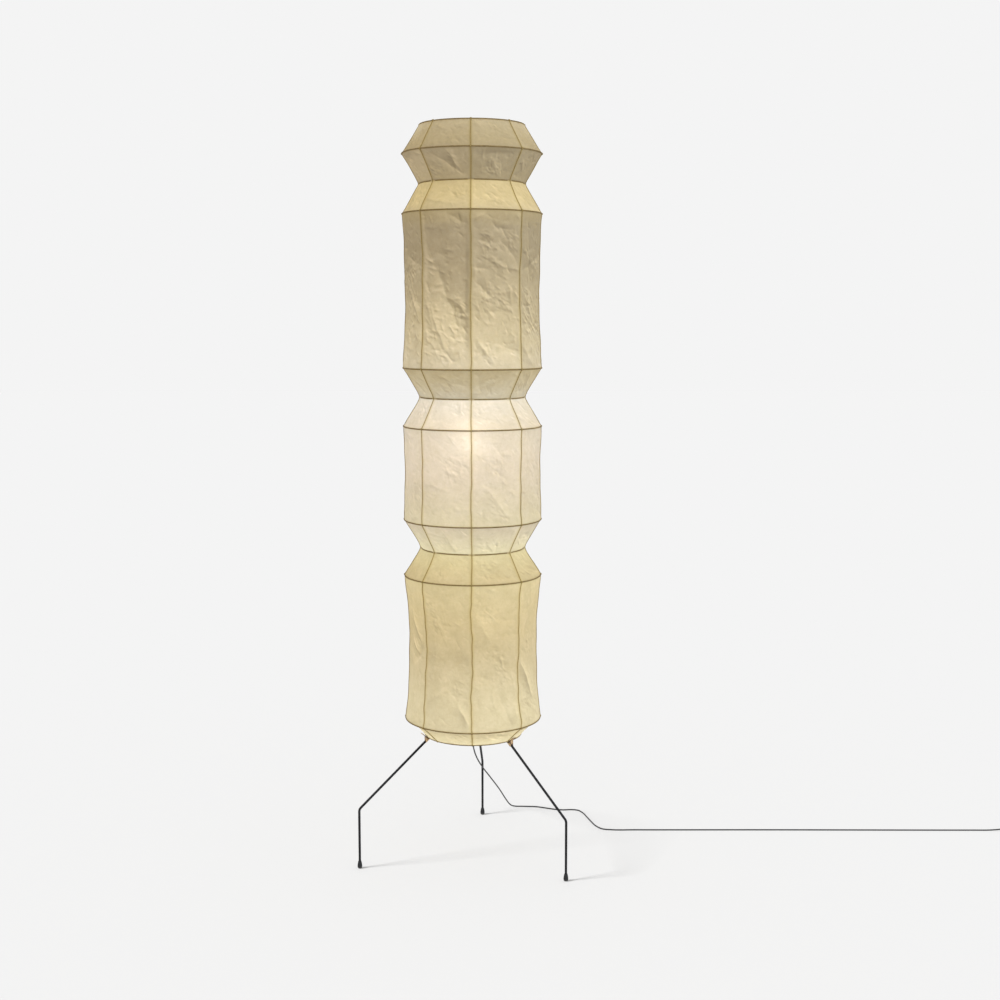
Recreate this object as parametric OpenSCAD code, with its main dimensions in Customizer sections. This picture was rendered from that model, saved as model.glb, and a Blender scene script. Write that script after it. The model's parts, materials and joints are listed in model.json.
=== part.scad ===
// Paper lantern floor lamp: a tall hooped paper shade on a black wire tripod.
// Millimetres, +Z up. The origin is on the floor, under the axis of the shade.

/* [Shade] */
// Height of the top of the shade above the floor
lamp_h = 1450; // [1440:1:1460]
// Radius of the wide hoops, at the wire's centre
wide_r = 135; // [132:0.5:137]
// Radius of the neck hoops and of the top hoop
neck_r = 101; // [99:0.5:103]
// Radius of the bottom hoop, which the three leg clips hold
bottom_r = 97; // [96:0.5:98]
// Height of the cones at the rim and under the lowest neck
end_cone_h = 54; // [52:0.5:56]
// Height of the cones between a neck and a wide hoop
neck_cone_h = 57; // [55:0.5:58]
// Height of the upper drum
upper_drum_h = 297; // [290:1:304]
// Height of the middle drum
middle_drum_h = 184; // [178:1:190]
// Height of the lower drum
lower_drum_h = 289; // [282:1:296]
// Height of the hem cone that draws in to the bottom hoop
hem_h = 34; // [30:1:38]
// Number of paper gores, with a tie thread at each seam
gores = 8; // [8:2:12]
// Diameter of the hoop wire
hoop_wire_d = 2.2; // [1.8:0.1:2.4]
// Thickness of the paper
paper_t = 0.5; // [0.4:0.1:0.6]
// Diameter of a tie thread
thread_d = 1.6; // [1:0.1:1.6]
// How far the slack paper of each drum draws in at mid height: upper, middle, lower
drum_slack = [5, 2, 9];
// Share of the way from a round to a flat gore, at mid height
gore_flatness = 0.5; // [0:0.05:0.8]

/* [Stand] */
// Diameter of the leg rod
leg_d = 4.8; // [4:0.1:5]
// Distance of each foot from the axis
foot_reach = 239.5; // [232:0.5:245]
// Height of the knee, where the leg turns inwards
knee_h = 120; // [114:0.5:124]
// Inner radius of the bend at a leg's knee
knee_bend = 10; // [8:1:14]
// Turn of each leg about the axis, from +X
rear_leg_turn = 86.2; // [84:0.1:86.5]
left_leg_turn = 201.4; // [198:0.1:204]
right_leg_turn = 319.3; // [317:0.1:322]
// Radius of the hub that the legs are screwed into
hub_r = 15; // [14:0.5:16]
// Height of the hub's underside
hub_z = 301; // [299:0.5:302]
// Height of the hub itself
hub_h = 46; // [44:1:48]
// Outer diameter of the stem
stem_d = 10; // [9:0.5:10]
// Height of the saddle that carries the harp and the lamp holder
saddle_z = 716; // [714:1:718]
// Diameter of the harp wire
harp_d = 4; // [3:0.5:4.5]
// Half width of the harp beside the bulb
harp_half_w = 46; // [42:1:50]
// Half width of the harp above the bulb
harp_neck_half_w = 12; // [11:0.5:14]

/* [Lamp holder and bulb] */
// Radius of the bulb's screw cap
cap_r = 13.2; // [13:0.05:13.3]
// Radius of the bulb's globe
globe_r = 30; // [28:0.5:30]
// Height of the globe's centre above the cap's lower contact
globe_above_contact = 76; // [74:1:78]
// Outer radius of the lamp holder
holder_r = 19.5; // [19:0.5:21]

/* [Cord] */
// Diameter of the cord
cord_d = 2.8; // [2.6:0.1:2.8]
// Inner radius of the coil, at the cord's centre
coil_in_r = 12.6; // [12.4:0.1:13]
// Distance between two turns and between two layers
coil_pitch = 3.3; // [3.25:0.05:3.4]

/* [Hidden] */
$fn = 64;

// Running gap between two bodies, and the small gap of a screwed or glued joint
body_gap = 0.3;
fit_gap = 0.05;

// ---- Shade: the twelve hoops from the top down, each [height, radius]
hoop_wire_r = hoop_wire_d / 2;
top_z = lamp_h - hoop_wire_r;
drops = [
    0, end_cone_h, neck_cone_h, neck_cone_h, upper_drum_h, neck_cone_h,
    neck_cone_h, middle_drum_h, neck_cone_h, end_cone_h, lower_drum_h, hem_h
];
hoop_radii = [
    neck_r, wide_r, neck_r, wide_r, wide_r, neck_r,
    wide_r, wide_r, neck_r, wide_r, wide_r, bottom_r
];
function sum_to(list, last) = last < 0 ? 0 : list[last] + sum_to(list, last - 1);
function hoop_z(i) = top_z - sum_to(drops, i);
function hoop_r(i) = hoop_radii[i];
last_hoop = len(drops) - 1;

// A band of paper hangs between hoop i and hoop i + 1
upper_drum = 3;
middle_drum = 6;
lower_drum = 9;
function is_drum(i) = i == upper_drum || i == middle_drum || i == lower_drum;
function band_slack(i) =
    i == upper_drum ? drum_slack[0] : i == middle_drum ? drum_slack[1] : i == lower_drum ? drum_slack[2] : 0;
function band_length(i) = norm([hoop_z(i) - hoop_z(i + 1), hoop_r(i) - hoop_r(i + 1)]);
function hump(t) = 4 * t * (1 - t);
// Radius of a seam a share t of the way down band i
function seam_r(i, t) = hoop_r(i) + t * (hoop_r(i + 1) - hoop_r(i)) - band_slack(i) * hump(t);
function seam_z(i, t) = hoop_z(i) + t * (hoop_z(i + 1) - hoop_z(i));
// Between two seams the slack gore flattens towards its chord
gore_angle = 360 / gores;
function chord_share(turn) =
    cos(gore_angle / 2) / cos((turn % gore_angle) - gore_angle / 2);
function paper_r(i, t, turn) =
    seam_r(i, t) * (1 - gore_flatness * hump(t) * (1 - chord_share(turn)));
// One seam faces the front
front_turn = -90;
columns_per_gore = 4;
drum_steps = 6;
cone_steps = 2;
// The paper stops short of the hoop wires, which ride on bodies of their own
paper_stop = hoop_wire_r + body_gap + 0.6;

// ---- Stand
leg_r = leg_d / 2;
leg_turns = [rear_leg_turn, left_leg_turn, right_leg_turn];
socket_r = 6.5;
socket_z = hub_z + 26.5;
leg_slope = (socket_z - knee_h) / (foot_reach - socket_r);
leg_angle = atan(leg_slope);
foot_h = 14.6;
foot_base_r = 2.4;
foot_floor_t = 3;
function leg_axis_z(r) = knee_h + leg_slope * (foot_reach - r);
clip_w = 10;
screw_r = 2;
screw_l = 5.4;
screw_seat_share = 0.3;

saddle_t = 2;
harp_end_x = 22;
harp_top_z = 1416;
harp_bend = 11;
stud_r = 3;
stud_top_z = 1437.3;
collar_top_z = 1424;
spider_ring_t = 3;
spider_z = collar_top_z + body_gap;

// ---- Lamp holder and bulb
holder_z = saddle_z + saddle_t;
cap_rim_z = holder_z + 36;
shell_top_z = cap_rim_z + 30;
contact_z = cap_rim_z + 2;
globe_z = contact_z + globe_above_contact;
screw_cap_z = contact_z + 3;
screw_cap_top = contact_z + 26;

// ---- Cord: the route's points, from the gland under the hub to the switch.
// It drops behind the hub, lands behind the rear foot, bends right, crosses
// the floor behind the right leg and runs straight off to the right.
cord_r = cord_d / 2;
gland_l = 22;
gland_z = hub_z - gland_l;
switch_in = [1138, 132, 5];
switch_out = [1224, 132, 5];
cord_route = [
    [0, 0, gland_z], [0, 0, 268], [0, 3, 252], [0, 13, 234], [0, 27, 220],
    [0, 42, 208], [3, 58, 190.5], [9, 78, 170], [18, 100, 148.5], [33, 138, 116.5],
    [54, 200, 68], [68, 246, 31], [75.5, 270, 13.5], [82, 283, 5], [91, 289, cord_r + 0.4],
    [102, 290, cord_r], [116, 289, cord_r], [135, 287, cord_r], [156, 278, cord_r], [176, 269, cord_r],
    [194, 265, cord_r], [212, 267, cord_r], [226, 263, cord_r], [235, 248, cord_r], [243.5, 218, cord_r],
    [251.5, 186, cord_r], [261, 156, cord_r], [272.5, 139.5, cord_r], [292, 134.5, cord_r], [340, 134, cord_r],
    [600, 134, cord_r], [1050, 132, cord_r], [1060, 132, cord_r], [1095, 132, cord_r + 0.2], [1115, 132, 3],
    [1128, 132, 5], switch_in
];
cord_sides = 8;

// ---- Coil: it starts behind the switch, winds counterclockwise and ends at the plug
// Half turns in each layer bring every climb round to the same two sides
layer_turns = 2.5;
coil_layers = 4;
coil_r = cord_r;
coil_out_r = coil_in_r + coil_pitch * layer_turns;
coil_center = [1262, 132 + coil_out_r];
coil_turns = layer_turns * coil_layers;
coil_sides = 6;
rings_per_turn = 24;
plug_axis_z = 6.85;
coil_end_r = coil_out_r + coil_pitch / 4;
plug_in = [coil_center[0] + coil_end_r, coil_center[1] + 38, plug_axis_z];

// ---- Switch and plug
switch_l = 62;
switch_w = 27;
switch_h = 17;
switch_x = 1150;
rocker_x = switch_x + switch_l / 2;
rocker_z = 9;
rocker_tilt = 8;
plug_face_w = 35;
plug_t = 2 * plug_axis_z;
plug_tail_l = 14;
plug_body_l = 34;
pin_spacing = 18.6;
pin_l = 19;
pin_r = 2;

// ======== Helpers

function unit(v) = v / norm(v);
rod_sides = 12;
bend_step = 15;

// Turn a copy of the children to each leg
module at_leg(i) {
    rotate([0, 0, leg_turns[i]]) children();
}

// Signed turn of a planar path at its point i, in degrees
function path_turn(path, i) =
    let (a = unit(path[i] - path[i - 1]), b = unit(path[i + 1] - path[i]))
    atan2(a[0] * b[1] - a[1] * b[0], a * b);
// Points round the bend at point i of a planar path, at its inner radius
function bend_points(path, i, bend) =
    let (turn = path_turn(path, i),
         back = unit(path[i - 1] - path[i]),
         center = path[i] + unit(back + unit(path[i + 1] - path[i])) * bend / cos(turn / 2),
         first = path[i] + back * bend * tan(abs(turn) / 2) - center,
         steps = ceil(abs(turn) / bend_step))
    [for (k = [0 : steps]) let (a = turn * k / steps)
        center + [first[0] * cos(a) - first[1] * sin(a), first[0] * sin(a) + first[1] * cos(a)]];

// A rod of round section bent along a path in the XZ plane, its points as [x, z]
module bent_rod(path, d, bend) {
    last = len(path) - 1;
    line = concat(
        [path[0]], [for (i = [1 : last - 1]) each bend_points(path, i, bend)], [path[last]]
    );
    swept_tube([for (p = line) [p[0], 0, p[1]]], d / 2, rod_sides, [0, 1, 0]);
}

// Cubic curve in the plane, as n + 1 points
function curve2(p, n) =
    [for (k = [0 : n]) let (t = k / n, s = 1 - t)
        s * s * s * p[0] + 3 * s * s * t * p[1] + 3 * s * t * t * p[2] + t * t * t * p[3]];

// Slope of a route at point i, by the lengths of the two spans that meet there
function route_slope(p, i) =
    i == 0 ? unit(p[1] - p[0]) :
    i == len(p) - 1 ? unit(p[i] - p[i - 1]) :
    let (a = norm(p[i] - p[i - 1]), b = norm(p[i + 1] - p[i]))
    ((p[i] - p[i - 1]) * b / a + (p[i + 1] - p[i]) * a / b) / (a + b);
// Rings on the span after point i: long straight spans need few
function span_rings(p, i) = norm(p[i + 1] - p[i]) > 100 ? 1 : 2;
// A smooth line through hand-chosen points
function smooth_route(p) = concat(
    [for (i = [0 : len(p) - 2], k = [0 : span_rings(p, i) - 1])
        let (t = k / span_rings(p, i), l = norm(p[i + 1] - p[i]),
             t2 = t * t, t3 = t2 * t)
        (2 * t3 - 3 * t2 + 1) * p[i] + (t3 - 2 * t2 + t) * l * route_slope(p, i)
        + (3 * t2 - 2 * t3) * p[i + 1] + (t3 - t2) * l * route_slope(p, i + 1)],
    [p[len(p) - 1]]
);
function route_length(p) =
    [for (i = 0, l = 0; i < len(p) - 1; l = l + norm(p[i + 1] - p[i]), i = i + 1)
        l + norm(p[i + 1] - p[i])][len(p) - 2];

// Direction of a line of points at point i
function line_dir(p, i) = unit(p[min(i + 1, len(p) - 1)] - p[max(i - 1, 0)]);
// Side vectors carried along the line without twist
function carry(side, dir) = unit(side - (side * dir) * dir);
function line_sides(p, first) =
    [for (i = 0, s = carry(first, line_dir(p, 0)); i < len(p);
          i = i + 1, s = i < len(p) ? carry(s, line_dir(p, i)) : s) s];

// A tube swept along a line of points as one polyhedron of triangles
module swept_tube(p, r, sides, first_side) {
    side = line_sides(p, first_side);
    n = len(p);
    points = [for (i = [0 : n - 1], k = [0 : sides - 1])
        let (other = cross(line_dir(p, i), side[i]), a = 360 * (k + 0.5) / sides)
        p[i] + r * (cos(a) * side[i] + sin(a) * other)];
    walls = [for (i = [0 : n - 2], k = [0 : sides - 1])
        let (a = i * sides + k, b = i * sides + (k + 1) % sides)
        each [[a, a + sides, b], [b, a + sides, b + sides]]];
    first_end = [for (k = [1 : sides - 2]) [0, k, k + 1]];
    last = (n - 1) * sides;
    last_end = [for (k = [1 : sides - 2]) [last, last + k + 1, last + k]];
    polyhedron(points, concat(walls, first_end, last_end));
}

// ======== Stand

module hub() {
    color("#1b1b1c") difference() {
        rotate_extrude() polygon([
            [3.2, hub_z], [hub_r - 2, hub_z], [hub_r, hub_z + 2], [hub_r, hub_z + hub_h - 2],
            [hub_r - 2, hub_z + hub_h], [stem_d / 2 + fit_gap, hub_z + hub_h],
            [stem_d / 2 + fit_gap, hub_z + hub_h - 12], [3.2, hub_z + hub_h - 12]
        ]);
        for (i = [0 : 2]) at_leg(i) {
            translate([socket_r, 0, socket_z])
                rotate([0, 90 + leg_angle, 0]) cylinder(r = leg_r + fit_gap, h = 30);
            screw_place() cylinder(r = screw_r, h = 20);
        }
    }
}

// Where a grub screw bears on the leg, square to the rod
module screw_place() {
    seat_r = socket_r + screw_seat_share * (hub_r - socket_r);
    translate([seat_r, 0, leg_axis_z(seat_r)])
        rotate([0, leg_angle, 0]) translate([0, 0, leg_r]) children();
}

// Three socket-head grub screws that clamp the legs in the hub
module grub_screws() {
    color("#2a2a2c") for (i = [0 : 2]) at_leg(i) screw_place() difference() {
        cylinder(r = screw_r - fit_gap, h = screw_l);
        translate([0, 0, screw_l - 2]) cylinder(r = 1.1, h = 3, $fn = 6);
    }
}

// One leg: a rod bent once at the knee and pushed into its socket in the hub
module leg(i) {
    color("#161616") at_leg(i)
        bent_rod(
            [[foot_reach, foot_floor_t], [foot_reach, knee_h], [socket_r, socket_z]],
            leg_d, knee_bend
        );
}

// Drop-shaped rubber foot, pushed over the end of the rod
module foot(i) {
    outline = concat(
        [[0, 0], [foot_base_r, 0]],
        curve2([[foot_base_r, 0], [5.4, 1], [5.2, 6], [3.1, foot_h]], 12),
        [[leg_r + fit_gap, foot_h], [leg_r + fit_gap, foot_floor_t], [0, foot_floor_t]]
    );
    color("#101010") at_leg(i) translate([foot_reach, 0, 0])
        rotate_extrude() polygon(outline);
}

// Bamboo clip that sits astride each leg: the bottom hoop drops into its notch,
// between the inner jaw and a lip that leans out along the paper of the hem. The
// notch opens onto the rod.
module leg_clips() {
    wire_z = hoop_z(last_hoop);
    notch = hoop_wire_r + body_gap;
    lean = (wide_r - bottom_r) / hem_h;
    lip_h = 8;
    under = 0.9 / cos(leg_angle);
    in_r = bottom_r - 6.5;
    out_r = bottom_r + 4.5;
    lip_in = bottom_r + notch + 0.2;
    floor_z = leg_axis_z(bottom_r) + 1.2;
    outline = [
        [in_r, leg_axis_z(in_r) - under], [out_r, leg_axis_z(out_r) - under],
        [out_r, wire_z + 1], [lip_in + lean * lip_h + 2.2, wire_z + lip_h],
        [lip_in + lean * lip_h, wire_z + lip_h], [lip_in, wire_z],
        [bottom_r + notch, floor_z], [bottom_r - notch, floor_z],
        [bottom_r - notch, wire_z + 5], [in_r, wire_z + 5]
    ];
    color("#b9884f") for (i = [0 : 2]) at_leg(i) difference() {
        rotate([90, 0, 0]) linear_extrude(height = clip_w, center = true) polygon(outline);
        translate([foot_reach, 0, knee_h]) rotate([0, leg_angle - 90, 0])
            cylinder(r = leg_r + fit_gap, h = 300);
    }
}

module stem() {
    color("#1b1b1c") translate([0, 0, hub_z + hub_h - 12]) difference() {
        cylinder(d = stem_d, h = holder_z + 10 - (hub_z + hub_h - 12));
        translate([0, 0, -1]) cylinder(d = stem_d - 2.4, h = 500);
    }
}

// Hexagonal locknut on the stem
module locknut(z) {
    color("#c2a24c") translate([0, 0, z]) difference() {
        cylinder(r = 9.2, h = 5, $fn = 6);
        translate([0, 0, -1]) cylinder(r = stem_d / 2 + fit_gap, h = 7);
    }
}

module stem_locknut() {
    locknut(hub_z + hub_h);
}

module holder_locknut() {
    locknut(saddle_z - 5);
}

// Strip with two ferrules for the ends of the harp
module harp_saddle() {
    ferrule_h = 12;
    color("#1b1b1c") difference() {
        translate([0, 0, saddle_z]) union() {
            translate([-harp_end_x, -7, 0]) cube([2 * harp_end_x, 14, saddle_t]);
            for (s = [-1, 1]) translate([s * harp_end_x, 0, 0]) {
                cylinder(r = 7, h = saddle_t);
                cylinder(r = 3.4, h = saddle_t + ferrule_h);
            }
        }
        for (s = [-1, 1]) translate([s * harp_end_x, 0, saddle_z + saddle_t])
            cylinder(d = harp_d + 2 * fit_gap, h = ferrule_h + 1);
        translate([0, 0, saddle_z - 1]) cylinder(r = stem_d / 2 + fit_gap, h = saddle_t + 2);
    }
}

// The harp is one wire that bows out round the bulb and closes at the top
module harp() {
    side = [
        [harp_end_x, holder_z], [harp_end_x, 745], [harp_half_w, 800], [harp_half_w, 908],
        [harp_neck_half_w, 985], [harp_neck_half_w, harp_top_z]
    ];
    n = len(side);
    path = concat(side, [for (i = [1 : n]) [-side[n - i][0], side[n - i][1]]]);
    color("#1b1b1c") bent_rod(path, harp_d, harp_bend);
}

// Threaded stud brazed on the harp, with the collar that the spider sits on
module harp_stud() {
    color("#c2a24c") difference() {
        union() {
            translate([0, 0, harp_top_z]) cylinder(r = 5.5, h = 4);
            translate([0, 0, harp_top_z + 4]) cylinder(r = 8, h = collar_top_z - harp_top_z - 4);
            translate([0, 0, harp_top_z]) cylinder(r = stud_r, h = stud_top_z - harp_top_z);
        }
        translate([-12, 0, harp_top_z]) rotate([0, 90, 0]) cylinder(d = harp_d, h = 24);
    }
}

// ======== Lamp holder and bulb

module holder_cap() {
    wall = 1.7;
    color("#202022") rotate_extrude() polygon([
        [stem_d / 2 + fit_gap, holder_z], [8, holder_z], [8, holder_z + 4],
        [holder_r, holder_z + 18], [holder_r, cap_rim_z], [holder_r - wall, cap_rim_z],
        [holder_r - wall, cap_rim_z - 10], [holder_r - 4, cap_rim_z - 10],
        [8, holder_z + 11], [stem_d / 2 + fit_gap, holder_z + 11]
    ]);
}

// Ceramic disc that carries the centre contact and the screw sleeve
module holder_insulator() {
    color("#e8e2d4") translate([0, 0, cap_rim_z - 10])
        cylinder(r = holder_r - 1.7 - fit_gap, h = 10);
}

module holder_contact() {
    color("#c8a046") translate([0, 0, cap_rim_z]) union() {
        cylinder(r = 4, h = contact_z - cap_rim_z - body_gap);
        translate([0, -2, 0]) cube([9, 4, 0.8]);
    }
}

module holder_sleeve() {
    color("#c8a046") translate([0, 0, cap_rim_z]) difference() {
        cylinder(r = 14, h = 26);
        translate([0, 0, -1]) cylinder(r = cap_r + 0.08, h = 28);
    }
}

// Outer shell of the holder, with a lip round the mouth
module holder_shell() {
    color("#202022") rotate_extrude() polygon([
        [holder_r - 2.2, cap_rim_z], [holder_r, cap_rim_z], [holder_r, cap_rim_z + 8],
        [holder_r - 1, cap_rim_z + 10], [holder_r - 1, shell_top_z - 1], [holder_r - 2, shell_top_z],
        [14.8, shell_top_z], [14.8, shell_top_z - 3], [holder_r - 2.2, shell_top_z - 3]
    ]);
}

module bulb_contact() {
    color("#8f8f8f") translate([0, 0, contact_z]) cylinder(r = 4.6, h = 1.6);
}

module bulb_insulator() {
    color("#15151a") translate([0, 0, contact_z + 1.6])
        cylinder(r1 = 8, r2 = cap_r - 0.4, h = screw_cap_z - contact_z - 1.6);
}

module bulb_cap() {
    color("#c9ccce") translate([0, 0, screw_cap_z]) cylinder(r = cap_r, h = screw_cap_top - screw_cap_z);
}

// Frosted globe that narrows into the cap
module bulb_glass() {
    join = -38;
    rim = [globe_r * cos(join), globe_z + globe_r * sin(join)];
    neck = curve2([
        [cap_r - 0.2, screw_cap_top], [cap_r - 0.2, screw_cap_top + 10],
        rim - 8 * [-sin(join), cos(join)], rim
    ], 8);
    globe = [for (a = [join + 8 : 8 : 82]) [globe_r * cos(a), globe_z + globe_r * sin(a)]];
    color("#fff3dc") rotate_extrude()
        polygon(concat([[0, screw_cap_top]], neck, globe, [[0, globe_z + globe_r]]));
}

// ======== Shade

module hoop(i) {
    color("#7d6a3c") translate([0, 0, hoop_z(i)])
        rotate_extrude($fn = 96) translate([hoop_r(i), 0]) circle(d = hoop_wire_d, $fn = 24);
}

// The paper between hoop i and hoop i + 1: gores that are round at the hoops
// and go slack and flatter between them
module paper_band(i) {
    columns = gores * columns_per_gore;
    steps = is_drum(i) ? drum_steps : cone_steps;
    stop = paper_stop / band_length(i);
    // One ring of points, half the paper's thickness out or in
    function ring(k, out) = let (t = stop + k / steps * (1 - 2 * stop))
        [for (c = [0 : columns - 1]) let (turn = c * 360 / columns, r = paper_r(i, t, turn) + out)
            [r * cos(front_turn + turn), r * sin(front_turn + turn), seam_z(i, t)]];
    outer = [for (k = [0 : steps]) each ring(k, paper_t / 2)];
    inner = [for (k = [0 : steps]) each ring(k, -paper_t / 2)];
    skin = (steps + 1) * columns;
    base = steps * columns;
    faces = [for (c = [0 : columns - 1]) let (d = (c + 1) % columns) each concat(
        [for (k = [0 : steps - 1]) let (a = k * columns + c, b = k * columns + d) each [
            [a, b, a + columns], [b, b + columns, a + columns],
            [skin + a, skin + a + columns, skin + b], [skin + b, skin + a + columns, skin + b + columns]
        ]],
        [[c, skin + c, d], [d, skin + c, skin + d]],
        [[base + c, base + d, skin + base + c], [base + d, skin + base + d, skin + base + c]]
    )];
    color("#f2e6bd") polyhedron(concat(outer, inner), faces);
}

// A tie thread runs down each seam: over the wide hoops, along the slack
// drums and in a short straight across each neck
module tie_threads() {
    over_wire = hoop_wire_r + body_gap + thread_d / 2 + 0.1;
    on_paper = paper_t / 2 + thread_d / 2;
    hem_out = unit([hem_h, bottom_r - wide_r]);
    neck_half = 5;
    neck_out = neck_half * (wide_r - neck_r) / neck_cone_h + on_paper + 0.2;
    drum_stations = [0.08, 0.3, 0.5, 0.7, 0.92];
    function at_hoop(i) =
        i == 0 ? [[hoop_r(0) + hoop_wire_r + thread_d / 2, hoop_z(0)]] :
        hoop_r(i) == neck_r ?
            [for (s = [1, -1]) [neck_r + neck_out, hoop_z(i) + s * neck_half]] :
        i == last_hoop - 1 ?
            [[wide_r + over_wire, hoop_z(i)], [wide_r, hoop_z(i)] + over_wire * hem_out] :
        i == last_hoop ? [[bottom_r, hoop_z(i)] + over_wire * hem_out] :
        [[hoop_r(i) + over_wire, hoop_z(i)]];
    function on_band(i) = is_drum(i) ? [for (t = drum_stations) [seam_r(i, t) + on_paper, seam_z(i, t)]] : [];
    line = [for (i = [0 : last_hoop]) each concat(at_hoop(i), i < last_hoop ? on_band(i) : [])];
    color("#8d7a45") for (g = [0 : gores - 1]) rotate([0, 0, front_turn + g * gore_angle])
        swept_tube([for (p = line) [p[0], 0, p[1]]], thread_d / 2, 4, [0, 1, 0]);
}

// Ring and three arms inside the top hoop, which hang the shade on the stud
module spider() {
    arm_d = 2.4;
    arm_z = spider_z + spider_ring_t / 2;
    tip = [neck_r - 0.6, top_z - 1];
    color("#7d6a3c") {
        translate([0, 0, spider_z]) difference() {
            cylinder(r = 12, h = spider_ring_t);
            translate([0, 0, -1]) cylinder(r = stud_r + body_gap, h = spider_ring_t + 2);
        }
        for (a = [90, 210, 330]) rotate([0, 0, a])
            bent_rod([[10, arm_z], [86, arm_z], tip], arm_d, 6);
    }
}

module finial_washer() {
    color("#c2a24c") translate([0, 0, spider_z + spider_ring_t + body_gap]) difference() {
        cylinder(r = 9, h = 1.4);
        translate([0, 0, -1]) cylinder(r = stud_r + body_gap, h = 4);
    }
}

// Domed nut that screws down on the stud
module finial() {
    base_z = spider_z + spider_ring_t + 2 * body_gap + 1.4;
    bore_top = stud_top_z + 0.7;
    dome = curve2([[6.8, base_z + 7], [6.8, base_z + 12], [3.5, base_z + 15], [0, base_z + 15]], 10);
    color("#c2a24c") difference() {
        rotate_extrude() polygon(concat([[0, base_z], [6.2, base_z], [6.8, base_z + 0.6]], dome));
        translate([0, 0, base_z - 1]) cylinder(r = stud_r + 0.06, h = bore_top - base_z + 1);
    }
}

// ======== Cord, switch and plug

// Tapered rubber sleeve where the cord leaves the hub
module cord_gland() {
    color("#101010") difference() {
        union() {
            translate([0, 0, gland_z]) cylinder(r1 = 2.6, r2 = 5, h = gland_l);
            translate([0, 0, hub_z]) cylinder(r = 3.2 - fit_gap, h = 6);
        }
        translate([0, 0, gland_z + 4]) cylinder(r = cord_r + fit_gap, h = gland_l + 4);
    }
}

module cord() {
    line = smooth_route(cord_route);
    echo(cord_rings = len(line), cord_length = route_length(line));
    color("#0e0e0e") swept_tube(line, cord_r, cord_sides, [1, 0, 0]);
}

// The coil's centreline: four layers that spiral in and out in turn, with a
// climb of one layer in the half turn where the spiral reverses
function ease(t) = let (s = min(max(t, 0), 1)) s * s * (3 - 2 * s);
function coil_point(turn) =
    let (phase = turn % (2 * layer_turns),
         inward = phase <= layer_turns ? phase : 2 * layer_turns - phase,
         r = coil_out_r - coil_pitch * inward,
         climbs = [for (k = [1 : coil_layers - 1]) ease((turn - k * layer_turns) * 2 + 0.5)],
         a = 360 * turn - 90)
    [coil_center[0] + r * cos(a), coil_center[1] + r * sin(a),
     coil_r + coil_pitch * sum_to(climbs, coil_layers - 2)];
function coil_line() =
    let (n = coil_turns * rings_per_turn,
         top_layer_z = coil_r + coil_pitch * (coil_layers - 1),
         lead = [
             switch_out, switch_out + [cord_d, 0, 0], switch_out + [9, 0, -1.2],
             [coil_center[0] - 21, 132, coil_r + 0.5], [coil_center[0] - 12, 132, coil_r]
         ],
         last_quarter = [for (k = [1 : rings_per_turn / 4])
             let (turn = k / rings_per_turn, a = 360 * turn - 90, r = coil_out_r + coil_pitch * turn)
             [coil_center[0] + r * cos(a), coil_center[1] + r * sin(a), top_layer_z]],
         tail = [
             plug_in - [0, 30, plug_axis_z - top_layer_z], plug_in - [0, 19, -2.6],
             plug_in - [0, 9, -0.5], plug_in - [0, cord_d, 0], plug_in
         ])
    concat(lead, [for (k = [0 : n]) coil_point(k / rings_per_turn)], last_quarter, tail);

module cord_coil() {
    line = coil_line();
    apart = rings_per_turn / 2;
    gaps = [for (i = [0 : len(line) - 1 - apart]) min([for (j = [i + apart : len(line) - 1])
        norm(line[i] - line[j])]) - cord_d];
    echo(coil_rings = len(line), coil_length = route_length(line), least_gap = min(gaps));
    color("#0e0e0e") swept_tube(line, coil_r, coil_sides, [0, 0, 1]);
}

// Strap that holds the turns of the coil together, on the side away from the plug
module coil_tie() {
    gap = 0.5;
    strap_t = 1;
    low = [coil_in_r - coil_r - gap, 0];
    high = [coil_out_r + coil_r + gap, coil_pitch * (coil_layers - 1) + cord_d + gap];
    color("#26262a") translate([coil_center[0], coil_center[1], 0]) rotate([0, 0, 150]) difference() {
        translate([low[0] - strap_t, -4, 0])
            cube([high[0] - low[0] + 2 * strap_t, 8, high[1] + strap_t]);
        translate([low[0], -5, -1]) cube([high[0] - low[0], 10, high[1] + 1]);
    }
}

// Outline of a bar with round ends, lengthwise along X
module rounded_outline(l, w, r) {
    for (x = [r, l - r], y = [r - w / 2, w / 2 - r]) translate([x, y]) circle(r = r);
    translate([r, -w / 2]) square([l - 2 * r, w]);
    translate([0, r - w / 2]) square([l, w - 2 * r]);
}

// Inline switch: a moulded body that tapers to a sleeve at each end
module switch_body() {
    sleeve_l = 12;
    color("#141416") difference() {
        union() {
            translate([switch_x, 132, 0]) intersection() {
                linear_extrude(height = switch_h) rounded_outline(switch_l, switch_w, 9);
                rotate([90, 0, 0]) linear_extrude(height = switch_w, center = true) polygon([
                    [0, 0], [switch_l, 0], [switch_l, 11], [switch_l - 12, switch_h],
                    [12, switch_h], [0, 11]
                ]);
            }
            translate(switch_in) rotate([0, 90, 0]) cylinder(r1 = 2.6, r2 = 4.2, h = sleeve_l + 1);
            translate(switch_out) rotate([0, -90, 0]) cylinder(r1 = 2.6, r2 = 4.2, h = sleeve_l + 1);
        }
        translate([rocker_x - 12, 132 - 6.4, 4]) cube([24, 12.8, switch_h]);
        translate([rocker_x, 132, rocker_z]) rotate([90, 0, 0])
            cylinder(r = 1.56, h = 18, center = true, $fn = 32);
    }
}

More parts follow.
